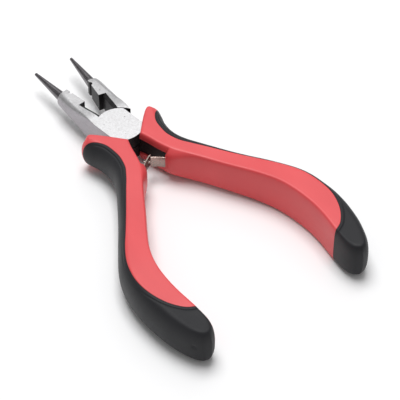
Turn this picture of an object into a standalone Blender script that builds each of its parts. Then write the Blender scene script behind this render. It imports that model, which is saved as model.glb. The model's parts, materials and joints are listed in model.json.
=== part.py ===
"""Round nose pliers: two forged halves in a lap joint, moulded handles and two leaf springs.

Frame: +Z up, the pivot's axis is the Z axis, +Y runs to the jaw tips and +X to the right
handle. The origin is the middle of the pivot rivet's lower end face. The pliers are drawn
open, as their springs hold them. Sizes are in millimetres and become metres in the meshes.

Half A is the left jaw, the upper lap and the right tang. Half B is the same forging turned
over about the Y axis: the right jaw, the lower lap and the left tang.
"""

import math

import bmesh
import bpy
from mathutils import Matrix, Vector

MM = 0.001
OVERSHOOT = 1.0  # how far a cutter runs past the material that it cuts
FAR = 100.0  # edge of a cutter that takes everything on one side
GAP = 0.3  # between the solids of neighbouring pieces
RUNNING_GAP = 0.05  # between the rivet and its bores

# Lap joint
LAP = 4.6  # thickness of one lap; the mid-plane lies this high above the origin
PLATE_RADIUS = 7.65
PLATE_FREE_SIDE = 5.85
PLATE_JAW_SIDE = 6.1
PLATE_SIDES = 72
RECESS_RADIUS = PLATE_RADIUS + GAP
HALF_OPENING = math.radians(8.6)  # each half stands this far from the closed position
JAW_SKEW = math.radians(1.1)  # both jaws lean this far to the right of the middle

# Jaw, drawn closed, with its gripping face beside the plane x = 0
GRIP_FACE = 0.15
# y, outer side's distance from the plane x = 0, half thickness, radius of the outer edges
JAW_SECTIONS = (
    (26.0, 4.3, 2.75, 2.45),
    (24.0, 4.7, 3.0, 2.5),
    (20.5, 5.1, 3.15, 2.3),
    (17.0, 5.4, 3.4, 1.8),
    (13.5, 5.55, 3.85, 1.3),
    (10.5, 5.75, 4.35, 0.7),
    (8.2, 5.9, LAP, 0.35),
    (4.8, 6.12, LAP, 0.06),
    (-3.6, 6.12, LAP, 0.06),
)
JAW_EDGE_STEPS = 5
CONE_BASE = (1.95, 25.2)
CONE_TIP = (0.68, 41.5)
CONE_BASE_RADIUS = 1.82
CONE_TIP_RADIUS = 0.53
CONE_NOSE = 0.2  # chamfer at the tip
CONE_SIDES = 32
NOTCH_Y = 23.8
NOTCH_RADIUS = 0.85
NOTCH_SIDES = 20
WINDOW_FRONT = 17.0
WINDOW_REAR = -5.0
WINDOW_DEPTH = 1.5
WINDOW_BEVEL = (1.15, 0.8)  # width and height of the sloping edges at its top and bottom
# y, and the jaw's half thickness there
WINDOW_SECTIONS = ((WINDOW_FRONT, 3.4), (13.5, 3.85), (10.5, 4.35), (8.2, LAP), (WINDOW_REAR, LAP))

# Pivot rivet, ground flush at both ends
RIVET_RADIUS = 2.4
RIVET_HEAD_RADIUS = 3.2
RIVET_HEAD = 1.0
RIVET_SIDES = 48

# Tang of half A: points on its centre line, drawn open, and its width there
TANG_LINE = (
    (3.6, -4.6), (5.0, -9.0), (6.0, -13.5), (7.6, -18.0), (10.3, -22.8), (15.4, -30.4),
    (22.9, -42.0), (28.2, -51.0),
)
TANG_WIDTHS = (4.4, 3.6, 3.3, 3.0, 2.4, 2.4, 2.4, 2.2)
TANG_HALF_THICKNESS = 2.8

# Handle: outline at mid-height, drawn open, from the inner front corner to the tail and back
INNER_SIDE = (
    (2.0, -7.9), (3.1, -11.5), (4.1, -15.5), (5.5, -19.3), (7.7, -23.2), (12.1, -30.0),
    (16.8, -37.8), (21.0, -44.6), (24.5, -51.0), (26.6, -57.5), (27.4, -64.0), (27.3, -71.0),
    (26.5, -78.0), (26.1, -83.6), (27.0, -87.2), (29.2, -88.9),
)
OUTER_SIDE = (
    (29.2, -88.9), (31.8, -88.1), (34.0, -85.3), (35.7, -81.6), (37.1, -77.3), (38.1, -72.0),
    (38.5, -66.5), (38.3, -61.0), (37.2, -55.0), (35.0, -49.5), (30.2, -42.0), (24.9, -34.3),
    (20.6, -27.7), (16.8, -21.6), (14.4, -17.5), (13.2, -14.0), (12.9, -10.5), (13.3, -6.8),
    (14.3, -3.4), (14.8, -1.0), (14.1, 1.0), (12.4, 1.7), (10.6, 1.1), (7.6, -1.7), (2.0, -7.9),
)
# depth of the rounded edge, and the power of its curve: 2 is round and more is squarer
INNER_EDGE = (1.3, 4.5)
OUTER_EDGE = (3.6, 2.2)
TAIL_EDGE = (2.1, 2.5)
THUMB_EDGE = (4.1, 2.05)
NOSE_EDGE = (1.8, 2.2)
HORN_EDGE = (1.5, 4.2)
HANDLE_RINGS = 10
# swelling of the inner side round the leaf spring's root: y of its front, crest and rear
ROOT_SWELL = (-19.2, -21.5, -26.5)
ROOT_SWELL_HEIGHT = 2.1
ROOT_SWELL_STEP = 0.8  # share of the height that it has at once at its front
ROOT_SWELL_FULLNESS = 0.7  # how it thins out towards the handle's upper and lower faces
# The tangs aren't bent quite alike: y, and how far the right and the left handle are set in there
HANDLE_SET = (
    (-13.0, 0.0, 0.0), (-24.0, 0.0, 0.75), (-38.0, 0.1, 0.85), (-62.0, 1.7, 0.7), (-90.0, 2.6, 0.3),
)
# y and half thickness of the handle
HANDLE_THICKNESS = ((2.0, 5.7), (-30.0, 5.7), (-57.0, 6.8), (-72.0, 6.8), (-90.0, 6.2))
# line where the red shell meets the soft grip, from the horn's end to the tail's inner side
SEAM = (
    (17.5, 0.8), (14.0, -1.2), (11.5, -3.2), (9.6, -6.4), (9.0, -10.5), (9.1, -13.8),
    (10.4, -17.8), (12.7, -21.3), (16.6, -26.8), (21.9, -34.4), (26.7, -41.2), (30.3, -46.2),
    (33.2, -51.2), (34.9, -56.0), (35.6, -60.7), (35.3, -65.5), (33.9, -70.4), (31.6, -74.5),
    (28.4, -77.4), (22.0, -79.3),
)
# corners of the open channel in the shell's inner side, from the joint to the leaf spring
CHANNEL = ((-3.0, -4.0), (-3.0, -19.0), (8.0, -19.0), (6.5, -4.0))
POCKET_HALF_THICKNESS = TANG_HALF_THICKNESS + GAP
SHELL_ROOF = LAP + GAP  # height of the shell's roof over the laps, from the mid-plane

# Leaf springs: centre line of the right one, drawn open, from its held tail to its free end
LEAF_LINE = (
    (9.0, -24.7), (7.5, -22.9), (6.0, -21.1), (4.6, -19.1), (2.6, -17.2), (0.0, -15.6), (-1.3, -14.95),
)
LEAF_ROOT = LEAF_LINE[2]
LEAF_CROSSING = LEAF_LINE[5]
LEAF_STEPS = 3
LEAF_THICKNESS = 0.45
LEAF_HALF_WIDTH = 2.05
TONGUE_HALF_WIDTH = 0.5
TONGUE_SHOULDER = 0.75
SLOT_HALF_WIDTH = 0.9
SLOT_HALF_LENGTH = 0.8

# Rivet that holds each leaf's tail to the tang
LEAF_RIVET_RADIUS = 0.6
LEAF_RIVET_HEAD_RADIUS = 1.0
LEAF_RIVET_HEAD = 0.25
LEAF_RIVET_LENGTH = 2.2
LEAF_RIVET_SIDES = 24
LEAF_RIVET_TAPER = 0.8  # head's top radius as a share of its base's

SMOOTH_BELOW = math.radians(32.0)  # edges flatter than this are shaded smooth


def clear_scene():
    for obj in list(bpy.data.objects):
        bpy.data.objects.remove(obj, do_unlink=True)


def make_material(name, color, roughness, metallic):
    material = bpy.data.materials.new(name)
    material.use_nodes = True
    shader = material.node_tree.nodes["Principled BSDF"]
    shader.inputs["Base Color"].default_value = (*color, 1.0)
    shader.inputs["Roughness"].default_value = roughness
    shader.inputs["Metallic"].default_value = metallic
    return material


def spline(points, steps):
    """Points of a smooth curve through the given ones, with so many steps between each pair."""
    ends = [2 * Vector(points[0]) - Vector(points[1]), 2 * Vector(points[-1]) - Vector(points[-2])]
    line = [ends[0], *map(Vector, points), ends[1]]
    curve = []
    for before, start, end, after in zip(line, line[1:], line[2:], line[3:]):
        for step in range(steps):
            t = step / steps
            curve.append(
                0.5 * (2 * start + (end - before) * t
                       + (2 * before - 5 * start + 4 * end - after) * t**2
                       + (3 * start - before - 3 * end + after) * t**3)
            )
    curve.append(line[-2])
    return curve


def rectangle(low, high):
    """Corners of a flat rectangle between its lowest and its highest corner."""
    return (low, (high[0], low[1]), high, (low[0], high[1]))


def side_normals(line, closed=False):
    """Unit vectors to the left of a flat line, one at each point."""
    count = len(line)
    normals = []
    for i in range(count):
        before = line[(i - 1) % count] if closed or i > 0 else line[i]
        after = line[(i + 1) % count] if closed or i < count - 1 else line[i]
        along = (after - before).normalized()
        normals.append(Vector((-along.y, along.x)))
    return normals


def shifted(line, distance):
    """The line moved to its left by a distance."""
    return [point + normal * distance for point, normal in zip(line, side_normals(line))]


def new_object(name, mesh_data, material=None):
    obj = bpy.data.objects.new(name, mesh_data)
    bpy.context.scene.collection.objects.link(obj)
    if material:
        obj.data.materials.append(material)
    return obj


def object_from_rings(name, rings):
    """Closed body whose skin joins rings of the same number of points, given in millimetres."""
    bm = bmesh.new()
    verts = [[bm.verts.new(Vector(point) * MM) for point in ring] for ring in rings]
    count = len(rings[0])
    for low, high in zip(verts, verts[1:]):
        for i in range(count):
            j = (i + 1) % count
            bm.faces.new((low[i], low[j], high[j], high[i]))
    bm.faces.new(verts[0])
    bm.faces.new(verts[-1])
    bmesh.ops.recalc_face_normals(bm, faces=bm.faces)
    mesh = bpy.data.meshes.new(name)
    bm.to_mesh(mesh)
    bm.free()
    return new_object(name, mesh)


def prism(name, outline, low, high):
    """Closed body with a flat outline between two heights."""
    return object_from_rings(name, [[(x, y, z) for x, y in outline] for z in (low, high)])


def turned(name, profile, sides, center=(0.0, 0.0)):
    """Closed body turned about an upright line, from (radius, height) pairs."""
    x, y = center
    circle = [(math.cos(2 * math.pi * i / sides), math.sin(2 * math.pi * i / sides)) for i in range(sides)]
    rings = [[(x + radius * c, y + radius * s, height) for c, s in circle] for radius, height in profile]
    return object_from_rings(name, rings)


def combine(obj, other, operation):
    """Joins, cuts or intersects obj with another object, which is then removed."""
    modifier = obj.modifiers.new("boolean", "BOOLEAN")
    modifier.operation = operation
    modifier.solver = "EXACT"
    modifier.object = other
    evaluated = obj.evaluated_get(bpy.context.evaluated_depsgraph_get())
    mesh = bpy.data.meshes.new_from_object(evaluated)
    obj.modifiers.clear()
    obj.data = mesh
    bpy.data.objects.remove(other)


def moved(obj, matrix):
    """Transforms the mesh itself and leaves the object's own transform alone."""
    obj.data.transform(matrix)
    if matrix.determinant() < 0:
        obj.data.flip_normals()


def jaw_body():
    """The jaw's body, rectangular at the lap and half round at the front."""
    rings = []
    for y, outer, half, radius in JAW_SECTIONS:
        ring = [(-GRIP_FACE, y, -half), (-GRIP_FACE, y, half)]
        for start, height in ((90, half - radius), (180, radius - half)):
            for step in range(JAW_EDGE_STEPS + 1):
                angle = math.radians(start + 90 * step / JAW_EDGE_STEPS)
                x = radius - outer + radius * math.cos(angle)
                ring.append((x, y, height + radius * math.sin(angle)))
        rings.append(ring)
    return object_from_rings("jaw_body", rings)


def jaw_cone():
    """The conical tip, whose side runs along the plane x = 0 when the pliers are closed."""
    base, tip = Vector((-CONE_BASE[0], CONE_BASE[1], 0.0)), Vector((-CONE_TIP[0], CONE_TIP[1], 0.0))
    length = (tip - base).length
    cone = turned(
        "cone",
        (
            (CONE_BASE_RADIUS, 0.0), (CONE_TIP_RADIUS, length - CONE_NOSE),
            (CONE_TIP_RADIUS - CONE_NOSE, length),
        ),
        CONE_SIDES,
    )
    turn = (tip - base).to_track_quat("Z", "X").to_matrix().to_4x4()
    moved(cone, Matrix.Translation(base * MM) @ turn)
    return cone


def window_cutter():
    """Clears the window between the jaws, with sloping edges at the top and the bottom."""
    width, height = WINDOW_BEVEL
    mouth = WINDOW_DEPTH + width * (height + OVERSHOOT) / height
    rings = []
    for y, half in WINDOW_SECTIONS:
        top, edge = half + OVERSHOOT, half - height
        rings.append([
            (OVERSHOOT, y, -top), (-mouth, y, -top), (-WINDOW_DEPTH, y, -edge),
            (-WINDOW_DEPTH, y, edge), (-mouth, y, top), (OVERSHOOT, y, top),
        ])
    return object_from_rings("window", rings)


def lap_plate():
    """The round plate with its two flattened sides, at full thickness."""
    plate = turned("plate", ((PLATE_RADIUS, -LAP), (PLATE_RADIUS, LAP)), PLATE_SIDES)
    end = PLATE_RADIUS + OVERSHOOT
    corners = rectangle((-PLATE_JAW_SIDE, -end), (PLATE_FREE_SIDE, end))
    combine(plate, prism("sides", corners, -LAP - OVERSHOOT, LAP + OVERSHOOT), "INTERSECT")
    return plate


def tang_outline(margin):
    """The tang's outline, grown by a margin."""
    line = spline(TANG_LINE, 4)
    widths = [w.x for w in spline([(w, 0.0) for w in TANG_WIDTHS], 4)]
    normals = side_normals(line)
    left = [p + n * (w / 2 + margin) for p, n, w in zip(line, normals, widths)]
    right = [p - n * (w / 2 + margin) for p, n, w in zip(line, normals, widths)]
    along = (line[-1] - line[-2]).normalized() * margin
    return left[:-1] + [left[-1] + along, right[-1] + along] + right[-2::-1]


def across_rod(name, profile, origin, direction):
    """Round piece whose axis lies flat in the mid-plane, from an origin along a direction."""
    rod = turned(name, profile, LEAF_RIVET_SIDES)
    turn = Vector((direction.x, direction.y, 0.0)).to_track_quat("Z", "Y").to_matrix().to_4x4()
    moved(rod, Matrix.Translation(Vector((origin.x, origin.y, 0.0)) * MM) @ turn)
    return rod


def leaf_rivet_place():
    """Point on the leaf's tail where the rivet sits, and the way its head faces."""
    front, rear = Vector(LEAF_LINE[1]), Vector(LEAF_LINE[0])
    along = (rear - front).normalized()
    return (front + rear) / 2, Vector((along.y, -along.x))


def leaf_rivet_hole(name):
    place, facing = leaf_rivet_place()
    radius = LEAF_RIVET_RADIUS + RUNNING_GAP
    return across_rod(name, ((radius, -LEAF_RIVET_LENGTH - GAP), (radius, OVERSHOOT)), place, facing)


def leaf_outline(margin):
    """The right leaf's outline seen from above, grown by a margin."""
    line = spline(LEAF_LINE, LEAF_STEPS)
    half = LEAF_THICKNESS / 2 + margin
    return shifted(line, half) + shifted(line, -half)[::-1]


def rivet_profile(margin, extra):
    """Pivot rivet about the mid-plane, grown by a margin, its cone ends lengthened by an extra height."""
    radius, neck = RIVET_RADIUS + margin, LAP - RIVET_HEAD
    flare = (RIVET_HEAD_RADIUS - RIVET_RADIUS) * (RIVET_HEAD + extra) / RIVET_HEAD
    end = LAP + extra
    return ((radius + flare, -end), (radius, -neck), (radius, neck), (radius + flare, end))


def forged_half(opening):
    """Half A about the mid-plane: left jaw, upper lap and right tang."""
    end = LAP + OVERSHOOT
    half = jaw_body()
    combine(half, window_cutter(), "DIFFERENCE")
    notch = turned("notch", ((NOTCH_RADIUS, -end), (NOTCH_RADIUS, end)), NOTCH_SIDES, (0.0, NOTCH_Y))
    combine(half, notch, "DIFFERENCE")
    combine(half, jaw_cone(), "UNION")
    combine(half, lap_plate(), "UNION")
    moved(half, Matrix.Rotation(opening, 4, "Z"))
    tang = prism("tang", tang_outline(0.0), -TANG_HALF_THICKNESS, TANG_HALF_THICKNESS)
    combine(half, tang, "UNION")
    recess = turned("recess", ((RECESS_RADIUS, -end), (RECESS_RADIUS, GAP / 2)), PLATE_SIDES)
    combine(half, recess, "DIFFERENCE")
    combine(half, leaf_rivet_hole("rivet_bore"), "DIFFERENCE")
    bore = turned("pivot_bore", rivet_profile(RUNNING_GAP, OVERSHOOT), RIVET_SIDES)
    combine(half, bore, "DIFFERENCE")
    return half


def eased(rows, y):
    """Value at y, eased between rows of falling y and value."""
    for (y0, low), (y1, high) in zip(rows, rows[1:]):
        if y1 <= y <= y0:
            t = (y0 - y) / (y0 - y1)
            return low + (high - low) * t * t * (3 - 2 * t)
    return rows[0][1] if y > rows[0][0] else rows[-1][1]


def set_in(x, y):
    """A point's x once its handle, on its own side of the middle, is set in."""
    side = 1 if x > 0 else -1
    rows = [(row[0], row[1] if side > 0 else row[2]) for row in HANDLE_SET]
    return x - side * eased(rows, y)


def root_swell(y):
    """How far the inner side stands out at y around the leaf spring's root."""
    front, crest, rear = ROOT_SWELL
    if not rear < y < front:
        return 0.0
    if y > crest:
        rise = (front - y) / (front - crest)
        return ROOT_SWELL_HEIGHT * (ROOT_SWELL_STEP + (1 - ROOT_SWELL_STEP) * rise)
    rise = (y - rear) / (crest - rear)
    return ROOT_SWELL_HEIGHT * rise * rise * (3 - 2 * rise)


def edge_shapes(inner_count, outer_count):
    """Depth and power of the rounded edge at each point of the handle's outline."""
    count = inner_count + outer_count
    places = (
        (0, INNER_EDGE), (inner_count - 11, INNER_EDGE),
        (inner_count - 3, TAIL_EDGE), (inner_count + 5, TAIL_EDGE),
        (inner_count + 14, OUTER_EDGE), (count - 30, OUTER_EDGE),
        (count - 24, THUMB_EDGE), (count - 20, THUMB_EDGE),
        (count - 14, NOSE_EDGE), (count - 10, NOSE_EDGE),
        (count - 6, HORN_EDGE), (count, HORN_EDGE),
    )
    shapes = []
    for i in range(count):
        for (start, low), (end, high) in zip(places, places[1:]):
            if start <= i < end:
                t = (i - start) / (end - start)
                shapes.append([a + (b - a) * t for a, b in zip(low, high)])
    return shapes


def handle_body():
    """The right handle's whole moulded form: flat faces, a flat inner and a full outer side."""
    inner, outer = spline(INNER_SIDE, 3)[:-1], spline(OUTER_SIDE, 3)[:-1]
    outline = inner + outer
    normals = side_normals(outline, closed=True)
    swells = [root_swell(point.y) for point in inner] + [0.0] * len(outer)
    rings = []
    for k in range(HANDLE_RINGS + 1):
        angle = math.radians(180 * k / HANDLE_RINGS - 90)
        level, reach = abs(math.sin(angle)), abs(math.cos(angle))
        ring = []
        for point, normal, (depth, power), swell in zip(
            outline, normals, edge_shapes(len(inner), len(outer)), swells
        ):
            inset = depth * (1 - reach ** (2 / power)) - swell * reach**ROOT_SWELL_FULLNESS
            place = point + normal * inset
            height = eased(HANDLE_THICKNESS, place.y) * level ** (2 / power)
            ring.append((place.x, place.y, math.copysign(height, angle)))
        rings.append(ring)
    return object_from_rings("handle", rings)


def grip_region(name, margin):
    """Everything on the soft grip's side of the seam, moved off it by a margin."""
    line = shifted(spline(SEAM, 3), margin)
    corners = ((SEAM[-1][0] - OVERSHOOT, -FAR), (FAR, -FAR), (FAR, SEAM[0][1] + OVERSHOOT))
    return prism(name, [*line, *map(Vector, corners)], -FAR, FAR)


def pocket():
    """The shell's pocket for the tang, open to the front and to the inner side near the joint."""
    outline = tang_outline(GAP)
    return prism("pocket", outline, -POCKET_HALF_THICKNESS, POCKET_HALF_THICKNESS)


def channel():
    """The open channel along the shell's inner side."""
    return prism("channel", CHANNEL, -POCKET_HALF_THICKNESS, POCKET_HALF_THICKNESS)


def handle_shell():
    """The right handle's hard shell."""
    shell = handle_body()
    combine(shell, grip_region("grip_side", -GAP / 2), "DIFFERENCE")
    combine(shell, pocket(), "DIFFERENCE")
    combine(shell, channel(), "DIFFERENCE")
    room = ((RECESS_RADIUS, -SHELL_ROOF), (RECESS_RADIUS, SHELL_ROOF))
    combine(shell, turned("joint_room", room, PLATE_SIDES), "DIFFERENCE")
    leaf_room = prism("leaf_room", leaf_outline(GAP), -LEAF_HALF_WIDTH - GAP, LEAF_HALF_WIDTH + GAP)
    combine(shell, leaf_room, "DIFFERENCE")
    place, facing = leaf_rivet_place()
    radius, height = LEAF_RIVET_HEAD_RADIUS + GAP, LEAF_THICKNESS / 2 + LEAF_RIVET_HEAD + GAP
    head_room = ((radius, -LEAF_RIVET_LENGTH), (radius, height))
    combine(shell, across_rod("head_room", head_room, place, facing), "DIFFERENCE")
    return shell


def soft_grip():
    """The right handle's soft grip and tail cap."""
    grip = handle_body()
    combine(grip, grip_region("grip_side", GAP / 2), "INTERSECT")
    return grip


def leaf_cutter(low, high, before, after):
    """Block across the free leg, between two distances from the crossing."""
    crossing, along = Vector(LEAF_CROSSING), (Vector(LEAF_LINE[-1]) - Vector(LEAF_LINE[-3])).normalized()
    across = Vector((along.y, -along.x)) * OVERSHOOT
    start, end = crossing - along * before, crossing + along * after
    return prism("cutter", (start - across, end - across, end + across, start + across), low, high)


def leaf_blank():
    """One leaf with its rivet's hole, before its end is cut to a tongue or a slot."""
    leaf = prism("leaf", leaf_outline(0.0), -LEAF_HALF_WIDTH, LEAF_HALF_WIDTH)
    combine(leaf, leaf_rivet_hole("hole"), "DIFFERENCE")
    return leaf


def tongue_leaf():
    leaf = leaf_blank()
    edge = LEAF_HALF_WIDTH + OVERSHOOT
    for low, high in ((TONGUE_HALF_WIDTH, edge), (-edge, -TONGUE_HALF_WIDTH)):
        combine(leaf, leaf_cutter(low, high, TONGUE_SHOULDER, LEAF_HALF_WIDTH), "DIFFERENCE")
    return leaf


def slotted_leaf():
    leaf = leaf_blank()
    slot = leaf_cutter(-SLOT_HALF_WIDTH, SLOT_HALF_WIDTH, SLOT_HALF_LENGTH, SLOT_HALF_LENGTH)
    combine(leaf, slot, "DIFFERENCE")
    return leaf


def leaf_rivet():
    """Small headed rivet through the leaf's tail into the tang."""
    start = LEAF_THICKNESS / 2 + RUNNING_GAP
    profile = (
        (LEAF_RIVET_RADIUS, -LEAF_RIVET_LENGTH), (LEAF_RIVET_RADIUS, start),
        (LEAF_RIVET_HEAD_RADIUS, start),
        (LEAF_RIVET_HEAD_RADIUS * LEAF_RIVET_TAPER, start + LEAF_RIVET_HEAD),
    )
    return across_rod("rivet", profile, *leaf_rivet_place())


def finish(obj, name, material, matrix, pivot=(0.0, 0.0)):
    """Names a piece, places it about the mid-plane and puts its origin on its joint's axis."""
    obj.name = name
    obj.data.name = name
    moved(obj, matrix)
    for vertex in obj.data.vertices:
        vertex.co.x = set_in(vertex.co.x / MM, vertex.co.y / MM) * MM
    origin = Vector((pivot[0], pivot[1], LAP)) * MM
    obj.data.transform(Matrix.Translation(Vector((-origin.x, -origin.y, 0.0))))
    obj.location = origin
    obj.data.materials.clear()
    obj.data.materials.append(material)
    obj.data.shade_smooth()
    obj.data.set_sharp_from_angle(angle=SMOOTH_BELOW)


def build():
    clear_scene()
    steel = make_material("satin_steel", (0.62, 0.61, 0.6), 0.35, 1.0)
    rivet_steel = make_material("rivet_steel", (0.58, 0.57, 0.56), 0.35, 1.0)
    spring_steel = make_material("spring_steel", (0.66, 0.6, 0.55), 0.3, 1.0)
    red = make_material("red_plastic", (0.75, 0.06, 0.07), 0.42, 0.0)
    black = make_material("black_rubber", (0.035, 0.037, 0.045), 0.65, 0.0)

    as_drawn = Matrix.Identity(4)
    turned_over = Matrix.Rotation(math.pi, 4, "Y")
    mirrored = Matrix.Scale(-1.0, 4, (1.0, 0.0, 0.0))
    left_root = (set_in(-LEAF_ROOT[0], LEAF_ROOT[1]), LEAF_ROOT[1])

    finish(forged_half(HALF_OPENING - JAW_SKEW), "left_jaw_half", steel, as_drawn)
    finish(forged_half(HALF_OPENING + JAW_SKEW), "right_jaw_half", steel, turned_over)
    pivot = turned("pivot", rivet_profile(0.0, 0.0), RIVET_SIDES)
    finish(pivot, "pivot_rivet", rivet_steel, as_drawn)
    finish(handle_shell(), "right_handle_shell", red, as_drawn)
    finish(handle_shell(), "left_handle_shell", red, mirrored)
    finish(soft_grip(), "right_soft_grip", black, as_drawn)
    finish(soft_grip(), "left_soft_grip", black, mirrored)
    finish(tongue_leaf(), "right_leaf_spring", spring_steel, as_drawn, LEAF_ROOT)
    finish(slotted_leaf(), "left_leaf_spring", spring_steel, mirrored, left_root)
    finish(leaf_rivet(), "right_spring_rivet", rivet_steel, as_drawn)
    finish(leaf_rivet(), "left_spring_rivet", rivet_steel, mirrored)


build()
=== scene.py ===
"""Looks of the round nose pliers: ground and oxidised steel, two-part handles and leaf springs.

Outlines are in millimetres about the mid-plane of the lap joint, as in the CAD source, and
become metres in the meshes.
"""

import json
import math

import bmesh
import bpy
import numpy as np
from mathutils import Matrix, Vector


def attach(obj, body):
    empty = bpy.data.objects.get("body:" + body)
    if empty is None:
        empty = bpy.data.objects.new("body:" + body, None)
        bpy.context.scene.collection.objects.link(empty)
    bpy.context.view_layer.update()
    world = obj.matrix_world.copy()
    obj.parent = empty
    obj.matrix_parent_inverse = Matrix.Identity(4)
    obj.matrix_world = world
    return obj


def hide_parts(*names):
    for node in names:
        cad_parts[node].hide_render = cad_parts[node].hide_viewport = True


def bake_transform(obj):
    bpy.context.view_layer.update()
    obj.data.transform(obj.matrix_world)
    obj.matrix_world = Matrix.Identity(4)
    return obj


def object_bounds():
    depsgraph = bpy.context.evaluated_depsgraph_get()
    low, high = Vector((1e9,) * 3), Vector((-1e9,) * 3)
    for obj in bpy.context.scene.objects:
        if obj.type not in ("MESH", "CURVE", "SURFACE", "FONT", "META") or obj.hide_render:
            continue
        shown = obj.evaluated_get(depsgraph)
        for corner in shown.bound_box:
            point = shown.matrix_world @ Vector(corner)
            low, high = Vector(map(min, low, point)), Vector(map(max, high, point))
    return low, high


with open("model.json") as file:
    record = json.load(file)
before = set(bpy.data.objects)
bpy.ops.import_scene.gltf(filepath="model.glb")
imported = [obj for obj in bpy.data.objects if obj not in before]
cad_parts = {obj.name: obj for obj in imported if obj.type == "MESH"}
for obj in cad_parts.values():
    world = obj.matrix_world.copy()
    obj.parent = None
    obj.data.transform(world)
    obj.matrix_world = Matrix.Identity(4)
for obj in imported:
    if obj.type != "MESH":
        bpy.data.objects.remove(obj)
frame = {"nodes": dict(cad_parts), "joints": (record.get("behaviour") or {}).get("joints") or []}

cad_low, cad_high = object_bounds()

MM = 0.001
JOINTS = {joint["name"]: joint for joint in frame["joints"]}
MID_PLANE = JOINTS["jaw_pivot"]["pos_m"][2]
HALF_OPENING = math.radians(8.6)  # each half stands this far from the closed position
JAW_SKEW = math.radians(1.1)  # both jaws lean this far to the right of the middle

# Handle: the right one's outline at mid-height, from its inner front corner to the tail and back
INNER_SIDE = (
    (2.0, -7.9), (3.1, -11.5), (4.1, -15.5), (5.5, -19.3), (7.7, -23.2), (12.1, -30.0),
    (16.8, -37.8), (21.0, -44.6), (24.5, -51.0), (26.6, -57.5), (27.4, -64.0), (27.3, -71.0),
    (26.5, -78.0), (26.1, -83.6), (27.0, -87.2), (29.2, -88.9),
)
OUTER_SIDE = (
    (29.2, -88.9), (31.8, -88.1), (34.0, -85.3), (35.7, -81.6), (37.1, -77.3), (38.1, -72.0),
    (38.5, -66.5), (38.3, -61.0), (37.2, -55.0), (35.0, -49.5), (30.2, -42.0), (24.9, -34.3),
    (20.6, -27.7), (16.8, -21.6), (14.4, -17.5), (13.2, -14.0), (12.9, -10.5), (13.3, -6.8),
    (14.3, -3.4), (14.8, -1.0), (14.1, 1.0), (12.4, 1.7), (10.6, 1.1), (7.6, -1.7), (2.0, -7.9),
)
INNER_SPANS = len(INNER_SIDE) - 1
OUTLINE_SPANS = INNER_SPANS + len(OUTER_SIDE) - 1
OUTLINE_STEPS = 16  # to each span
# line where the red shell meets the soft grip, from the horn's end to the tail's inner side
SEAM = (
    (17.5, 0.8), (14.0, -1.2), (11.5, -3.2), (9.6, -6.4), (9.0, -10.5), (9.1, -13.8),
    (10.4, -17.8), (12.7, -21.3), (16.6, -26.8), (21.9, -34.4), (26.7, -41.2), (30.3, -46.2),
    (33.2, -51.2), (34.9, -56.0), (35.6, -60.7), (35.3, -65.5), (33.9, -70.4), (31.6, -74.5),
    (28.4, -77.4), (22.0, -79.3),
)
# place along the outline, depth of the rounded edge there, and the power of its curve
EDGES = (
    (0.0, 1.3, 4.5), (11.3, 1.3, 4.5), (14.0, 2.1, 2.5), (16.7, 2.1, 2.5), (19.7, 3.6, 2.2),
    (29.0, 3.6, 2.2), (31.0, 4.1, 2.05), (32.3, 4.1, 2.05), (34.3, 3.4, 2.05), (35.7, 3.4, 2.05),
    (37.0, 1.5, 4.2), (39.0, 1.5, 4.2),
)
# y and half thickness of the handle
HANDLE_THICKNESS = ((2.0, 5.7), (-30.0, 5.7), (-57.0, 6.8), (-72.0, 6.8), (-90.0, 6.2))
# y, and how far the right and the left handle are set in there
HANDLE_SET = (
    (-13.0, 0.0, 0.0), (-24.0, 0.0, 0.75), (-38.0, 0.1, 0.85), (-62.0, 1.7, 0.7), (-90.0, 2.6, 0.3),
)
# swelling of the inner side round the leaf spring's root
ROOT_SWELL = (-19.2, -21.5, -26.5)
ROOT_SWELL_HEIGHT = 2.1
ROOT_SWELL_STEP = 0.8
ROOT_SWELL_FULLNESS = 3.0

# Place on the seam, and the place on the outline that faces it, for each moulding. The first
# and the last pair are guesses near the points where the seam crosses the outline.
GRIP_SECTIONS = (
    (0.8, 34.5), (1.5, 33.6), (3.0, 32.1), (4.0, 31.0), (5.0, 30.1), (6.0, 29.3), (7.0, 28.3),
    (8.0, 27.3), (9.0, 26.2), (10.0, 25.2), (11.0, 24.4), (12.0, 23.6), (13.0, 22.9), (14.0, 22.0),
    (15.0, 21.0), (16.0, 19.6), (17.0, 18.0), (17.6, 16.7), (18.0, 15.2), (18.2, 13.7), (18.3, 12.1),
)
SHELL_SECTIONS = (
    (0.8, 34.5), (1.3, 35.7), (2.0, 37.0), (3.0, 38.0), (4.0, 38.85), (4.5, 39.0), (5.0, 39.7),
    (6.0, 40.9), (7.0, 41.9), (8.0, 43.4), (9.0, 44.8), (10.0, 45.9), (11.0, 46.8), (12.0, 47.5),
    (13.0, 48.2), (14.0, 48.8), (15.0, 49.5), (16.0, 50.1), (17.0, 50.6), (18.0, 50.95), (18.3, 51.1),
)
# how far from a guess the crossing of the seam and the outline is looked for, in points
SEAM_SEARCH = 0.6
EDGE_SEARCH = 1.2
SEARCH_SAMPLES = 1201
SECTION_STEPS = 9
END_STEPS = 16
SEAM_GAP = 0.02
SEAM_ROUNDING = 0.16
# samples of a section, in millimetres from the seam, before those of its rounded edge
NEAR_SEAM = (0.0, 0.05, 0.12, 0.2, 0.45, 0.75, 0.9, 1.02, 1.14, 1.26, 1.4, 1.6, 1.9)
NEAR_SEAM_SHARE = 0.4
ROUNDING_SHARE = 0.2  # most of a short section that the seam's rounding takes
EDGE_SHARE = 0.96  # most of the rest of a section that its rounded edge takes
FLAT_SAMPLES = 5
EDGE_SAMPLES = 20
# groove in the soft grip beside the seam
GROOVE_PLACE = 1.15
GROOVE_WIDTH = 0.2
GROOVE_DEPTH = 0.2
# lengths of section at which the groove starts to show and is complete
GROOVE_SECTIONS = (2.4, 3.6)
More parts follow.
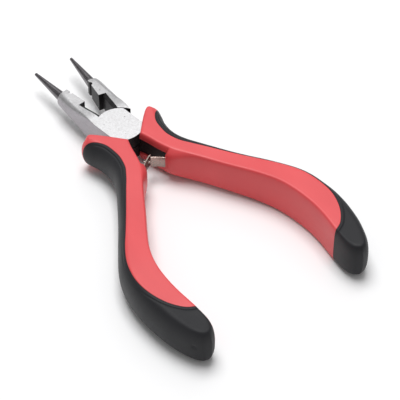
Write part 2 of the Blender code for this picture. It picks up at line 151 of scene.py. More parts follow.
# dimple that the moulding gate left on the tail
GATE_PLACE = (33.7, -86.1, 0.9)
GATE_RADIUS = 0.55
GATE_REACH = 2.5  # radii from its centre, past which the dimple has faded out
GATE_DEPTH = 0.35

# Hollows of the shell
GAP = 0.3
CHANNEL = ((-3.0, -4.0), (-3.0, -19.0), (8.0, -19.0), (6.5, -4.0))
TANG_LINE = (
    (3.6, -4.6), (5.0, -9.0), (6.0, -13.5), (7.6, -18.0), (10.3, -22.8), (15.4, -30.4),
    (22.9, -42.0), (28.2, -51.0),
)
TANG_WIDTHS = (4.4, 3.6, 3.3, 3.0, 2.4, 2.4, 2.4, 2.2)
POCKET_HALF_THICKNESS = 3.1
JOINT_ROOM = (7.95, 4.9)  # radius and half height

# Leaf springs: centre line of the right one, from its held tail to its free end
LEAF_LINE = (
    (9.0, -24.7), (7.5, -22.9), (6.0, -21.1), (4.6, -19.1), (2.6, -17.2), (0.0, -15.6), (-1.3, -14.95),
)
LEAF_CROSSING = LEAF_LINE[5]
LEAF_STEPS = 10
LEAF_THICKNESS = 0.45
LEAF_HALF_WIDTH = 2.05
TONGUE_HALF_WIDTH = 0.5
TONGUE_SHOULDER = 0.75
SLOT_HALF_WIDTH = 0.9
SLOT_HALF_LENGTH = 0.8
LEAF_EDGE = 0.07

# Pivot rivet and the forgings' edges
LAP = 4.6
RIVET_RADIUS = 2.4
RIVET_HEAD_RADIUS = 3.25
RIVET_HEAD_HEIGHT = 1.0
RIVET_EDGE = 0.015
RIVET_SIDES = 96
STEEL_EDGE = 0.11
JAW_FRONT = 26.0
JAW_SIDE = 3.9  # the jaws' outer sides stand further out than this
WINDOW = (6.0, 17.1, 3.0)  # rear, front and greatest depth
NOTCH_PLACE = (23.8, 0.85)  # place along the jaw and radius
JAW_PLANE = 0.05  # gripping faces are further than this from the plane x = 0
OUTER_FACE = 1.0  # ground faces are further than this from the mid-plane
TANG_FRONT = -3.0
NOTCH_MARGIN = 0.12
# parts of a face's unit normal along Z or X that tell which way it faces
UPWARD = 0.5
SIDEWAYS = 0.3
STRAIGHT_INWARD = 0.8
WALL_UPWARD = 0.4

# Studio, in metres
CAMERA_PLACE = (-0.2144, -0.3374, 0.3755)
CAMERA_RIGHT = (0.808, -0.5891, 0.0)
CAMERA_FORWARD = (0.4157, 0.5702, -0.7085)
CAMERA_LENS = 153.0
CAMERA_SENSOR = 36.0
FLOOR_DROP = 0.0002
FLOOR_REACH = 3.0
FLOOR_WHITE = (0.92, 0.92, 0.925, 1.0)
WORLD_STRENGTH = 0.34
LIGHT_TARGET = (0.0, -0.03, 0.005)
# name, place, size and power
LIGHTS = (
    ("panel", (0.6, 0.82, 1.1), (1.3, 1.0), 2.9),
    ("overhead", (0.12, 0.3, 1.6), (0.9, 0.9), 22.0),
)


# ---------------------------------------------------------------- mesh helpers


def spline_at(points, places):
    """Points of a smooth curve through the given ones, at places counted in points."""
    points = np.array(points, float)
    padded = np.vstack((2 * points[0] - points[1], points, 2 * points[-1] - points[-2]))
    places = np.asarray(places, float)
    index = np.clip(places.astype(int), 0, len(points) - 2)
    t = (places - index)[:, None]
    before, start, end, after = (padded[index + k] for k in range(4))
    return 0.5 * (2 * start + (end - before) * t
                  + (2 * before - 5 * start + 4 * end - after) * t**2
                  + (3 * start - before - 3 * end + after) * t**3)


def spline(points, steps):
    return spline_at(points, np.linspace(0, len(points) - 1, (len(points) - 1) * steps + 1))


def side_normals(line):
    along = np.gradient(np.asarray(line, float), axis=0)
    along /= np.linalg.norm(along, axis=1)[:, None]
    return np.stack((-along[:, 1], along[:, 0]), axis=1)


def new_object(name, mesh):
    obj = bpy.data.objects.new(name, mesh)
    bpy.context.scene.collection.objects.link(obj)
    return obj


def object_from_rings(name, rings, caps=True):
    """Closed body whose skin joins rings of points, in millimetres about the mid-plane."""
    rings = np.asarray(rings, float) * MM
    rows, count = rings.shape[:2]
    faces = []
    for row in range(rows - 1):
        for i in range(count):
            j = (i + 1) % count
            a, b = row * count, (row + 1) * count
            faces.append((a + i, a + j, b + j, b + i))
    if caps:
        faces.append(tuple(range(count)))
        faces.append(tuple(range((rows - 1) * count, rows * count)))
    mesh = bpy.data.meshes.new(name)
    mesh.from_pydata(rings.reshape(-1, 3).tolist(), [], faces)
    obj = new_object(name, mesh)
    clean(obj, MM * 0.001)
    return obj


def clean(obj, distance):
    """Merges points that coincide and turns the faces outwards."""
    bm = bmesh.new()
    bm.from_mesh(obj.data)
    bmesh.ops.remove_doubles(bm, verts=bm.verts, dist=distance)
    bmesh.ops.dissolve_degenerate(bm, edges=bm.edges, dist=distance)
    bmesh.ops.recalc_face_normals(bm, faces=bm.faces)
    bm.to_mesh(obj.data)
    bm.free()


def prism(name, outline, low, high):
    return object_from_rings(name, [[(x, y, z) for x, y in outline] for z in (low, high)])


def turned(name, profile, sides):
    """Closed body turned about the Z axis, from (radius, height) pairs."""
    angles = [2 * math.pi * i / sides for i in range(sides)]
    rings = [[(r * math.cos(a), r * math.sin(a), z) for a in angles] for r, z in profile]
    return object_from_rings(name, rings)


def combine(obj, other, operation):
    modifier = obj.modifiers.new("boolean", "BOOLEAN")
    modifier.operation = operation
    modifier.solver = "EXACT"
    modifier.object = other
    apply_modifiers(obj)
    bpy.data.objects.remove(other)


def apply_modifiers(obj):
    evaluated = obj.evaluated_get(bpy.context.evaluated_depsgraph_get())
    mesh = bpy.data.meshes.new_from_object(evaluated)
    obj.modifiers.clear()
    obj.data = mesh


def bevel_edges(obj, width, segments, angle):
    """Rounds the edges sharper than an angle."""
    modifier = obj.modifiers.new("bevel", "BEVEL")
    modifier.width = width * MM
    modifier.segments = segments
    modifier.limit_method = "ANGLE"
    modifier.angle_limit = math.radians(angle)
    modifier.use_clamp_overlap = True
    modifier.miter_outer = "MITER_ARC"
    apply_modifiers(obj)


def shade(obj, angle):
    obj.data.shade_smooth()
    obj.data.set_sharp_from_angle(angle=math.radians(angle))


def even_normals(obj):
    """Lets the large flat faces rule the normals of the small ones round them."""
    modifier = obj.modifiers.new("normals", "WEIGHTED_NORMAL")
    modifier.keep_sharp = True
    modifier.weight = 100
    apply_modifiers(obj)


def eased(rows, y):
    """Values at y, eased between rows of falling y and value."""
    rows = np.array(rows, float)
    y = np.clip(y, rows[-1, 0], rows[0, 0])
    index = np.clip(np.searchsorted(-rows[:, 0], -y, side="right") - 1, 0, len(rows) - 2)
    t = (rows[index, 0] - y) / (rows[index, 0] - rows[index + 1, 0])
    return rows[index, 1] + (rows[index + 1, 1] - rows[index, 1]) * t * t * (3 - 2 * t)


def place(obj, side):
    """Mirrors a right-hand piece for the left side, sets it in and lifts it to the joint's height."""
    count = len(obj.data.vertices)
    points = np.zeros(count * 3)
    obj.data.vertices.foreach_get("co", points)
    points = points.reshape(-1, 3)
    rows = [(row[0], row[1] if side > 0 else row[2]) for row in HANDLE_SET]
    points[:, 0] = side * (points[:, 0] - eased(rows, points[:, 1] / MM) * MM)
    points[:, 2] += MID_PLANE
    obj.data.vertices.foreach_set("co", points.ravel())
    if side < 0:
        obj.data.flip_normals()
    obj.data.update()


# ---------------------------------------------------------------- materials

# places of the factor and the two colours among a Mix node's inputs, and of the mixed colour
COLOR_MIX_INPUTS = (0, 6, 7)
COLOR_MIX_OUTPUT = 2
PIT_FLOOR_SHARE = 0.6  # share of a pit's radius that is as dark as its middle


class Surface:
    """A Principled material whose nodes are added one line at a time."""

    def __init__(self, name, metallic, specular=0.5):
        self.material = bpy.data.materials.new(name)
        self.material.use_nodes = True
        self.tree = self.material.node_tree
        self.shader = self.tree.nodes["Principled BSDF"]
        self.shader.inputs["Metallic"].default_value = metallic
        self.shader.inputs["Specular IOR Level"].default_value = specular
        coordinates = self.node("ShaderNodeTexCoord")
        self.place = coordinates.outputs["Object"]
        self.upward = coordinates.outputs["Normal"]

    def node(self, kind, inputs=None, **settings):
        node = self.tree.nodes.new(kind)
        for key, value in settings.items():
            setattr(node, key, value)
        for key, value in (inputs or {}).items():
            if isinstance(value, bpy.types.NodeSocket):
                self.tree.links.new(value, node.inputs[key])
            else:
                node.inputs[key].default_value = value
        return node

    def stretched(self, scale, turn=0.0):
        """Object coordinates turned about Z and scaled along each axis."""
        return self.node(
            "ShaderNodeMapping", {"Vector": self.place, "Rotation": (0, 0, turn), "Scale": scale}
        ).outputs["Vector"]

    def noise(self, scale, detail=4.0, roughness=0.55, vector=None):
        inputs = {
            "Vector": vector or self.place, "Scale": scale, "Detail": detail, "Roughness": roughness,
        }
        return self.node("ShaderNodeTexNoise", inputs).outputs["Fac"]

    def ramp(self, value, low, high, start, end):
        """Value taken from the range start to end, to the range low to high."""
        inputs = {"Value": value, "From Min": start, "From Max": end, "To Min": low, "To Max": high}
        return self.node("ShaderNodeMapRange", inputs).outputs["Result"]

    def share(self, value, start, end, most=1.0):
        """How far a value has gone from start to end: from 0 to the share given by most."""
        return self.ramp(value, 0.0, most, start, end)

    def mix(self, factor, first, second):
        """First colour where the factor is 0, and second where it is 1."""
        node = self.tree.nodes.new("ShaderNodeMix")
        node.data_type = "RGBA"
        factor_socket, first_socket, second_socket = (node.inputs[i] for i in COLOR_MIX_INPUTS)
        self.tree.links.new(factor, factor_socket)
        for value, socket in ((first, first_socket), (second, second_socket)):
            if isinstance(value, bpy.types.NodeSocket):
                self.tree.links.new(value, socket)
            else:
                socket.default_value = (*value, 1.0)
        return node.outputs[COLOR_MIX_OUTPUT]

    def math(self, operation, first, second):
        return self.node("ShaderNodeMath", {0: first, 1: second}, operation=operation).outputs[0]

    def pits(self, scale, radius):
        """Small round pits: 1 in a pit and 0 elsewhere."""
        cells = self.node("ShaderNodeTexVoronoi", {"Vector": self.place, "Scale": scale})
        return self.ramp(cells.outputs["Distance"], 1.0, 0.0, radius * PIT_FLOOR_SHARE, radius)

    def color(self, value):
        self.tree.links.new(value, self.shader.inputs["Base Color"])

    def roughness(self, value):
        self.tree.links.new(value, self.shader.inputs["Roughness"])

    def bump(self, height, strength, distance):
        inputs = {"Height": height, "Strength": strength, "Distance": distance * MM}
        normal = self.node("ShaderNodeBump", inputs).outputs["Normal"]
        self.tree.links.new(normal, self.shader.inputs["Normal"])


def ground_steel():
    """Satin ground faces with speckle, scratches and pits; sideways faces painted darker as shade, with
    linishing lines.
    """
    dull, bright, speck = (0.56, 0.555, 0.56), (0.66, 0.66, 0.67), (0.36, 0.35, 0.36)
    scratch, pit = (0.86, 0.86, 0.87), (0.16, 0.15, 0.15)
    # darker tones for faces turned sideways: painted shade, with lighter linishing lines
    shaded_side_dull, shaded_side_bright, shaded_side_line = (0.3, 0.28, 0.3), (0.38, 0.36, 0.38), (0.5, 0.48, 0.5)
    s = Surface("ground_steel", 1.0)
    cloud = s.noise(1500.0, 5.0)
    speckle = s.noise(5200.0, 2.0, 0.7)
    scratches = s.noise(1.0, 3.0, 0.7, s.stretched((600.0, 9000.0, 3000.0), 0.5))
    crossed = s.noise(1.0, 3.0, 0.7, s.stretched((9000.0, 500.0, 3000.0), 0.9))
    lines = s.noise(1.0, 3.0, 0.65, s.stretched((2500.0, 260.0, 7000.0)))
    pits = s.pits(300.0, 0.07)
    tone = s.mix(s.share(cloud, 0.35, 0.65), dull, bright)
    tone = s.mix(s.share(speckle, 0.5, 0.68, 0.55), tone, speck)
    tone = s.mix(s.share(crossed, 0.5, 0.75, 0.3), tone, scratch)
    tone = s.mix(pits, tone, pit)
    # darker copy of the tone for sideways faces: painted shade, with lines along them
    side = s.mix(s.share(cloud, 0.35, 0.65), shaded_side_dull, shaded_side_bright)
    side = s.mix(s.share(lines, 0.4, 0.7, 0.5), side, shaded_side_line)
    # faces turned up or down keep the ground tone; sideways faces take the painted shade
    facing = s.node("ShaderNodeSeparateXYZ", {"Vector": s.upward}).outputs["Z"]
    level = s.share(s.math("ABSOLUTE", facing, 0.0), 0.3, 0.75)
    s.color(s.mix(level, side, tone))
    s.roughness(s.ramp(s.math("ADD", cloud, speckle), 0.34, 0.46, 0.7, 1.3))
    grain = s.math("ADD", s.math("MULTIPLY", scratches, 0.5), s.math("MULTIPLY", speckle, 0.6))
    s.bump(s.math("SUBTRACT", grain, pits), 0.3, 0.04)
    return s.material


def black_oxide():
    """Blackened faces left from heat treatment: nearly black, grainy, slightly glossy."""
    dark, light, worn = (0.014, 0.013, 0.014), (0.034, 0.032, 0.034), (0.08, 0.077, 0.08)
    s = Surface("black_oxide", 0.55)
    cloud = s.noise(700.0, 5.0)
    grain = s.noise(6500.0, 3.0, 0.7)
    tone = s.mix(s.share(cloud, 0.3, 0.7), dark, light)
    s.color(s.mix(s.share(grain, 0.55, 0.75, 0.5), tone, worn))
    s.roughness(s.ramp(grain, 0.38, 0.6, 0.3, 0.7))
    s.bump(grain, 0.5, 0.05)
    return s.material


def cone_steel():
    """Blued and polished tips: gunmetal, with fine polishing lines along them."""
    dark, light, line = (0.13, 0.122, 0.13), (0.21, 0.2, 0.21), (0.36, 0.35, 0.37)
    s = Surface("cone_steel", 1.0)
    cloud = s.noise(260.0, 4.0)
    lines = s.noise(1.0, 2.0, 0.6, s.stretched((9000.0, 260.0, 9000.0)))
    tone = s.mix(s.share(cloud, 0.3, 0.7), dark, light)
    s.color(s.mix(s.share(lines, 0.5, 0.75, 0.4), tone, line))
    s.roughness(s.ramp(lines, 0.2, 0.3, 0.3, 0.7))
    s.bump(lines, 0.15, 0.02)
    return s.material


def spring_steel():
    """Rolled spring strip: bright nickel with tarnish and lines along its length."""
    tarnish, nickel, line = (0.27, 0.21, 0.185), (0.38, 0.31, 0.28), (0.52, 0.45, 0.41)
    s = Surface("spring_strip_steel", 1.0)
    cloud = s.noise(1800.0, 5.0, 0.6)
    lines = s.noise(1.0, 3.0, 0.6, s.stretched((400.0, 400.0, 12000.0)))
    tone = s.mix(s.share(cloud, 0.35, 0.65), tarnish, nickel)
    s.color(s.mix(s.share(lines, 0.45, 0.7, 0.4), tone, line))
    s.roughness(s.ramp(cloud, 0.2, 0.38, 0.3, 0.7))
    s.bump(lines, 0.25, 0.02)
    return s.material


def red_plastic():
    """Hard moulded shell: satin red with a fine spark-eroded grain and faint flow marks."""
    deep, plain, fleck = (0.68, 0.066, 0.074), (0.75, 0.08, 0.088), (0.83, 0.13, 0.14)
    s = Surface("red_moulding", 0.0, 0.5)
    flow = s.noise(1.0, 4.0, 0.5, s.stretched((90.0, 35.0, 60.0), 0.55))
    grain = s.noise(5200.0, 2.0, 0.6)
    scuffs = s.noise(1.0, 4.0, 0.75, s.stretched((900.0, 160.0, 500.0), 0.3))
    tone = s.mix(s.share(flow, 0.3, 0.7), deep, plain)
    s.color(s.mix(s.share(grain, 0.5, 0.8, 0.16), tone, fleck))
    s.roughness(s.ramp(s.math("ADD", grain, scuffs), 0.34, 0.46, 0.8, 1.2))
    s.bump(grain, 0.16, 0.03)
    s.shader.inputs["Subsurface Weight"].default_value = 0.06
    s.shader.inputs["Subsurface Radius"].default_value = (1.2 * MM, 0.3 * MM, 0.25 * MM)
    s.shader.inputs["Subsurface Scale"].default_value = 1.0
    return s.material


def black_rubber():
    """Soft grip: matte thermoplastic rubber with a fine leathery grain and rubbed patches."""
    dark, rubbed_dark, fleck = (0.0075, 0.0077, 0.0098), (0.0125, 0.0127, 0.0155), (0.034, 0.035, 0.04)
    s = Surface("soft_grip_rubber", 0.0, 0.3)
    cells = s.node("ShaderNodeTexVoronoi", {"Vector": s.place, "Scale": 3600.0}, feature="SMOOTH_F1")
    grain = s.noise(4200.0, 3.0, 0.6)
    rubbed = s.noise(75.0, 4.0, 0.55)
    tone = s.mix(s.share(rubbed, 0.32, 0.68), dark, rubbed_dark)
    s.color(s.mix(s.share(grain, 0.5, 0.8, 0.3), tone, fleck))
    s.roughness(s.ramp(s.math("ADD", rubbed, grain), 0.5, 0.68, 0.75, 1.25))
    s.bump(s.math("ADD", cells.outputs["Distance"], s.math("MULTIPLY", grain, 0.6)), 0.32, 0.05)
    s.shader.inputs["Sheen Weight"].default_value = 0.08
    s.shader.inputs["Sheen Roughness"].default_value = 0.5
    return s.material


GROUND = ground_steel()
OXIDE = black_oxide()
CONE = cone_steel()
SPRING = spring_steel()
RED = red_plastic()
RUBBER = black_rubber()


# ---------------------------------------------------------------- handles


def outline_at(places):
    """Points of the handle's outline, at places counted in points from the inner front corner."""
    places = np.asarray(places, float) % OUTLINE_SPANS
    inner = spline_at(INNER_SIDE, np.clip(places, 0, INNER_SPANS))
    outer = spline_at(OUTER_SIDE, np.clip(places - INNER_SPANS, 0, OUTLINE_SPANS - INNER_SPANS))
    return np.where((places < INNER_SPANS)[:, None], inner, outer)


OUTLINE_PLACES = np.linspace(0, OUTLINE_SPANS, OUTLINE_SPANS * OUTLINE_STEPS + 1)
OUTLINE = outline_at(np.minimum(OUTLINE_PLACES, OUTLINE_SPANS - 1e-6))


def nearest_on_outline(points):
    """Distance of each point from the outline, and the place on the outline nearest to it."""
    start, step = OUTLINE[:-1], np.diff(OUTLINE, axis=0)
    squares = (step**2).sum(1)
    distances, places = [], []
    for part in np.array_split(points, len(points) // 1500 + 1):
        offset = part[:, None] - start[None]
        t = np.clip((offset * step).sum(2) / squares, 0, 1)
        gaps = np.linalg.norm(offset - step * t[..., None], axis=2)
        best = gaps.argmin(1)
        rows = np.arange(len(part))
        distances.append(gaps[rows, best])
        spans = OUTLINE_PLACES[best + 1] - OUTLINE_PLACES[best]
        places.append(OUTLINE_PLACES[best] + spans * t[rows, best])
    return np.concatenate(distances), np.concatenate(places)


def edge_at(places):
    """Depth and power of the rounded edge at places on the outline."""
    rows = np.array(EDGES)
    places = np.asarray(places) % OUTLINE_SPANS
    return np.interp(places, rows[:, 0], rows[:, 1]), np.interp(places, rows[:, 0], rows[:, 2])


def body_height(points):
    """Height of the handle's upper surface over the mid-plane."""
    distance, places = nearest_on_outline(points)
    depth, power = edge_at(places)
    left = 1 - np.clip(distance / depth, 0, 1)
    return eased(HANDLE_THICKNESS, points[:, 1]) * (1 - left**power) ** (1 / power)


def root_swell(y):
    front, crest, rear = ROOT_SWELL
    rise = np.clip((front - y) / (front - crest), 0, 1)
    fall = np.clip((y - rear) / (crest - rear), 0, 1)
    swell = np.where(y > crest, ROOT_SWELL_STEP + (1 - ROOT_SWELL_STEP) * rise, fall**2 * (3 - 2 * fall))
    return np.where((y < front) & (y > rear), swell * ROOT_SWELL_HEIGHT, 0.0)


def crossing(guess):
    """The seam's place and the outline's place where the two cross, near a guess."""
    seam_places = np.linspace(guess[0] - SEAM_SEARCH, guess[0] + SEAM_SEARCH, SEARCH_SAMPLES)
    edge_places = np.linspace(guess[1] - EDGE_SEARCH, guess[1] + EDGE_SEARCH, SEARCH_SAMPLES)
    seam, edge = spline_at(SEAM, seam_places), outline_at(edge_places)
    gaps = np.linalg.norm(seam[:, None] - edge[None], axis=2)
    row, column = np.unravel_index(gaps.argmin(), gaps.shape)
    return seam_places[row], edge_places[column]


def stations(pairs):
    """Places on the seam and on the outline of a moulding's sections."""
    pairs = [crossing(pairs[0]), *pairs[1:-1], crossing(pairs[-1])]
    seam_places, edge_places = [], []
    last = len(pairs) - 2
    for i, ((seam0, edge0), (seam1, edge1)) in enumerate(zip(pairs, pairs[1:])):
        if i == 0:
            t = np.linspace(0, 1, END_STEPS, endpoint=False) ** 3
        elif i == last:
            t = 1 - (1 - np.linspace(0, 1, END_STEPS)) ** 3
        else:
            t = np.linspace(0, 1, SECTION_STEPS, endpoint=False)
        seam_places.append(seam0 + (seam1 - seam0) * t)
        edge_places.append(edge0 + (edge1 - edge0) * t)
    return np.concatenate(seam_places), np.concatenate(edge_places)


def section_samples(length, depth, power):
    """Distances from the seam of the samples along one section."""
    near = np.array(NEAR_SEAM)
    near = near * min(1.0, NEAR_SEAM_SHARE * length / near[-1])
    rest = length - near[-1]
    depth = min(depth, rest * EDGE_SHARE)
    flat = np.linspace(near[-1], length - depth, FLAT_SAMPLES + 2)[1:-1]
    angles = np.linspace(math.pi / 2, 0, EDGE_SAMPLES)
    edge = length - depth * (1 - np.cos(angles) ** (2 / power))
    return np.concatenate((near, flat, edge))


def moulding(name, pairs, grooved):
    """One moulding of the right handle, lofted between the seam and its side of the outline."""
    seam_places, edge_places = stations(pairs)
    seam, edge = spline_at(SEAM, seam_places), outline_at(edge_places)
    seam[[0, -1]] = edge[[0, -1]]
    depths, powers = edge_at(edge_places)
    lengths = np.linalg.norm(edge - seam, axis=1)
    samples = np.array([section_samples(*row) for row in zip(lengths, depths, powers)])
    shares = samples / np.maximum(lengths, 1e-9)[:, None]
    flat = seam[:, None] + (edge - seam)[:, None] * shares[..., None]
    count = samples.shape[1]
    height = body_height(flat.reshape(-1, 2)).reshape(-1, count)
    height[:, -1] = 0.0
    full = eased(HANDLE_THICKNESS, flat[..., 1].ravel()).reshape(-1, count)
    level = np.clip(height / full, 0, 1)
    reach = np.sqrt(np.maximum(0.0, 1 - level ** powers[:, None]))

    rounding = np.minimum(SEAM_ROUNDING, lengths * ROUNDING_SHARE)[:, None]
    inside = np.clip(rounding - samples, 0, None)
    drop = rounding - np.sqrt(np.maximum(rounding**2 - inside**2, 0.0))
    if grooved:
        start, complete = GROOVE_SECTIONS
        fade = np.clip((lengths - start) / (complete - start), 0, 1)[:, None]
        drop = drop + fade * GROOVE_DEPTH * np.exp(-((samples - GROOVE_PLACE) / GROOVE_WIDTH) ** 2)
    else:
        away = (edge - seam) / np.maximum(lengths, 1e-9)[:, None]
        inner = (edge_places > OUTLINE_SPANS)[:, None]
        swell = np.where(inner, root_swell(flat[..., 1]), 0.0) * reach**ROOT_SWELL_FULLNESS
        flat = flat + away[:, None] * swell[..., None]
    height = np.maximum(height - drop * np.minimum(1.0, height), 0.0)

    top = np.concatenate((flat, height[..., None]), axis=2)
    bottom = np.concatenate((flat, -height[..., None]), axis=2)[:, -2::-1]
    rings = np.concatenate((top, bottom), axis=1)
    away = (edge - seam) / np.maximum(lengths, 1e-9)[:, None] * SEAM_GAP
    rings[:, [0, -1], :2] += away[:, None]
    return object_from_rings(name, rings, caps=False)


def press_gate(obj, up):
    """Presses the gate's round dimple into the tail."""
    center = Vector((GATE_PLACE[0], GATE_PLACE[1], GATE_PLACE[2] * up)) * MM
    for vertex in obj.data.vertices:
        away = (vertex.co - center).length / (GATE_RADIUS * MM)
        if away < GATE_REACH:
            vertex.co -= vertex.normal * GATE_DEPTH * MM * math.exp(-away**4)


def tang_room():
    line = spline(TANG_LINE, 4)
    half = spline([(w, 0.0) for w in TANG_WIDTHS], 4)[:, 0] / 2 + GAP
    normals = side_normals(line)
    outline = [*(line + normals * half[:, None]), *(line - normals * half[:, None])[::-1]]
    return prism("tang_room", outline, -POCKET_HALF_THICKNESS, POCKET_HALF_THICKNESS)


def leaf_outline(margin, steps):
    line = spline(LEAF_LINE, steps)
    offset = side_normals(line) * (LEAF_THICKNESS / 2 + margin)
    return [*(line + offset), *(line - offset)[::-1]]


def handle_shell(name):
    shell = moulding(name, SHELL_SECTIONS, False)
    combine(shell, tang_room(), "DIFFERENCE")
    channel = prism("channel", CHANNEL, -POCKET_HALF_THICKNESS, POCKET_HALF_THICKNESS)
    combine(shell, channel, "DIFFERENCE")
    radius, half = JOINT_ROOM
    combine(shell, turned("room", ((radius, -half), (radius, half)), RIVET_SIDES), "DIFFERENCE")
    room = LEAF_HALF_WIDTH + GAP
    combine(shell, prism("leaf_room", leaf_outline(GAP, 4), -room, room), "DIFFERENCE")
    return shell


def make_handles():
    for side, word, half in ((1, "right", "half_a"), (-1, "left", "half_b")):
        shell = handle_shell(word + "_shell_moulding")
        grip = moulding(word + "_grip_moulding", GRIP_SECTIONS, True)
        press_gate(grip, -side)
        for obj, node, material, slot in (
            (shell, word + "_handle_shell", RED, "red_plastic"),
            (grip, word + "_soft_grip", RUBBER, "black_rubber"),
        ):
            place(obj, side)
            shade(obj, 40.0)
            obj.data.materials.clear()
            obj.data.materials.append(material)
            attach(obj, half)
            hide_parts(node)


# ---------------------------------------------------------------- steel pieces


def steel_kind(center, normal):
    """Which finish a face of a forging has, from its place and direction with the jaws closed."""
    x, y, z = center / MM
    if y > JAW_FRONT + STEEL_EDGE:
        return CONE
    if y < TANG_FRONT and math.hypot(x, y) > JOINT_ROOM[0]:
        return OXIDE
    window_rear, window_front, window_depth = WINDOW
    in_window = window_rear < y < window_front and x > -window_depth and normal.x > SIDEWAYS
    notch_y, notch_radius = NOTCH_PLACE
    on_notch = abs(math.hypot(x, y - notch_y) - notch_radius) < NOTCH_MARGIN
    in_notch = on_notch and abs(normal.z) < WALL_UPWARD
    if in_window or in_notch or normal.x > STRAIGHT_INWARD and x < -JAW_PLANE:
        return OXIDE
    if abs(normal.z) > UPWARD and abs(z) > OUTER_FACE or y > notch_y:
        return GROUND
    if normal.x < -SIDEWAYS and x < -JAW_SIDE:
        return GROUND
    return OXIDE


def make_jaw(node, name, to_closed, body):
    """A forging with its edges broken, and the finish of each of its faces."""
    obj = new_object(name, frame["nodes"][node].data.copy())
    bm = bmesh.new()
    bm.from_mesh(obj.data)
    bmesh.ops.remove_doubles(bm, verts=bm.verts, dist=MM * 0.002)
    bmesh.ops.dissolve_limit(
        bm, angle_limit=math.radians(0.3), verts=bm.verts, edges=bm.edges, delimit={"NORMAL"}
    )
    for edge in bm.edges:
        edge.smooth = True
    bm.to_mesh(obj.data)
    bm.free()
    bevel_edges(obj, STEEL_EDGE, 2, 30.0)
    finishes = (GROUND, OXIDE, CONE)
    obj.data.materials.clear()
    for material in finishes:
        obj.data.materials.append(material)
    for face in obj.data.polygons:
        kind = steel_kind(to_closed @ face.center, to_closed.to_3x3() @ face.normal)
        face.material_index = finishes.index(kind)
    shade(obj, 25.0)
    even_normals(obj)
    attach(obj, body)
    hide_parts(node)


def make_rivet():
    """Pivot rivet whose ground ends fill their countersinks without a gap."""
    neck = LAP - RIVET_HEAD_HEIGHT
    rivet = turned(
        "pivot_rivet_ground",
        (
            (RIVET_HEAD_RADIUS - RIVET_EDGE, -LAP), (RIVET_HEAD_RADIUS, RIVET_EDGE - LAP),
            (RIVET_RADIUS, -neck), (RIVET_RADIUS, neck),
            (RIVET_HEAD_RADIUS, LAP - RIVET_EDGE), (RIVET_HEAD_RADIUS - RIVET_EDGE, LAP),
        ),
        RIVET_SIDES,
    )
    rivet.data.transform(Matrix.Translation((0, 0, MID_PLANE)))
    rivet.data.materials.append(GROUND)
    shade(rivet, 30.0)
    even_normals(rivet)
    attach(rivet, "half_a")
    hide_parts("pivot_rivet")


def leaf_cutter(low, high, before, after):
    """Block across the free leg, between two distances from the crossing."""
    crossing_point = Vector(LEAF_CROSSING)
    along = (Vector(LEAF_LINE[-1]) - Vector(LEAF_LINE[-3])).normalized()
    across = Vector((along.y, -along.x))
    start, end = crossing_point - along * before, crossing_point + along * after
    return prism("cutter", (start - across, end - across, end + across, start + across), low, high)


def make_leaf(side, word):
    name = word + "_spring_strip"
    leaf = prism(name, leaf_outline(0.0, LEAF_STEPS), -LEAF_HALF_WIDTH, LEAF_HALF_WIDTH)
    if side > 0:
        past = LEAF_HALF_WIDTH * 1.5
        for low, high in ((TONGUE_HALF_WIDTH, past), (-past, -TONGUE_HALF_WIDTH)):
            combine(leaf, leaf_cutter(low, high, TONGUE_SHOULDER, LEAF_HALF_WIDTH), "DIFFERENCE")
    else:
        slot = leaf_cutter(-SLOT_HALF_WIDTH, SLOT_HALF_WIDTH, SLOT_HALF_LENGTH, SLOT_HALF_LENGTH)
        combine(leaf, slot, "DIFFERENCE")
    bevel_edges(leaf, LEAF_EDGE, 2, 40.0)
    place(leaf, side)
    shade(leaf, 40.0)
    leaf.data.materials.clear()
    leaf.data.materials.append(SPRING)
    root = Vector(JOINTS[word + "_leaf_flex"]["pos_m"])
    free = Vector((side * LEAF_CROSSING[0], LEAF_CROSSING[1], 0.0)) * MM
    free.z = root.z
    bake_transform(leaf)
    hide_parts(word + "_leaf_spring")
    rivet = frame["nodes"][word + "_spring_rivet"]
    rivet.data.materials.clear()
    rivet.data.materials.append(SPRING)


# ---------------------------------------------------------------- studio


def make_camera():
    data = bpy.data.cameras.new("camera")
    data.lens = CAMERA_LENS
    data.sensor_width = CAMERA_SENSOR
    data.clip_start = 0.02
    camera = new_object("camera", data)
    right = Vector(CAMERA_RIGHT).normalized()
    forward = Vector(CAMERA_FORWARD).normalized()
    matrix = Matrix((right, right.cross(forward), -forward)).transposed().to_4x4()
    matrix.translation = CAMERA_PLACE
    camera.matrix_world = matrix
    bpy.context.scene.camera = camera


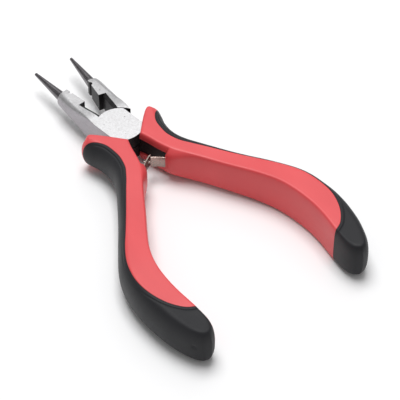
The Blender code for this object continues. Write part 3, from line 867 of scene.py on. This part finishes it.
def area_light(name, position, size, power):
    data = bpy.data.lights.new(name, "AREA")
    data.shape = "RECTANGLE"
    data.size, data.size_y = size
    data.energy = power
    light = new_object(name, data)
    light.location = position
    aim = Vector(LIGHT_TARGET) - Vector(position)
    light.rotation_euler = aim.to_track_quat("-Z", "Y").to_euler()


def make_floor():
    level = cad_low.z - FLOOR_DROP
    corners = [(-1, -1), (1, -1), (1, 1), (-1, 1)]
    mesh = bpy.data.meshes.new("floor")
    mesh.from_pydata([(x * FLOOR_REACH, y * FLOOR_REACH, level) for x, y in corners], [], [(0, 1, 2, 3)])
    floor = new_object("floor", mesh)
    white = bpy.data.materials.new("studio_white")
    white.use_nodes = True
    shader = white.node_tree.nodes["Principled BSDF"]
    shader.inputs["Base Color"].default_value = FLOOR_WHITE
    shader.inputs["Roughness"].default_value = 0.8
    shader.inputs["Specular IOR Level"].default_value = 0.2
    floor.data.materials.append(white)


def make_lights():
    """White surroundings, a panel that the steel's upper faces reflect, and a lamp overhead."""
    world = bpy.data.worlds.new("studio")
    world.use_nodes = True
    background = world.node_tree.nodes["Background"]
    background.inputs["Color"].default_value = (1.0, 1.0, 1.0, 1.0)
    background.inputs["Strength"].default_value = WORLD_STRENGTH
    bpy.context.scene.world = world
    bpy.context.scene.view_settings.view_transform = "Standard"
    for row in LIGHTS:
        area_light(*row)


make_handles()
lowered = Matrix.Translation((0, 0, -MID_PLANE))
turned_over = Matrix.Rotation(math.pi, 4, "Y")
left_closed = Matrix.Rotation(JAW_SKEW - HALF_OPENING, 4, "Z") @ lowered
right_closed = Matrix.Rotation(-JAW_SKEW - HALF_OPENING, 4, "Z") @ turned_over @ lowered
make_jaw("left_jaw_half", "left_jaw_forging", left_closed, "half_a")
make_jaw("right_jaw_half", "right_jaw_forging", right_closed, "half_b")
make_rivet()
for leaf_side, leaf_word, leaf_half in ((1, "right", "half_a"), (-1, "left", "half_b")):
    make_leaf(leaf_side, leaf_word)
make_camera()
make_floor()
make_lights()
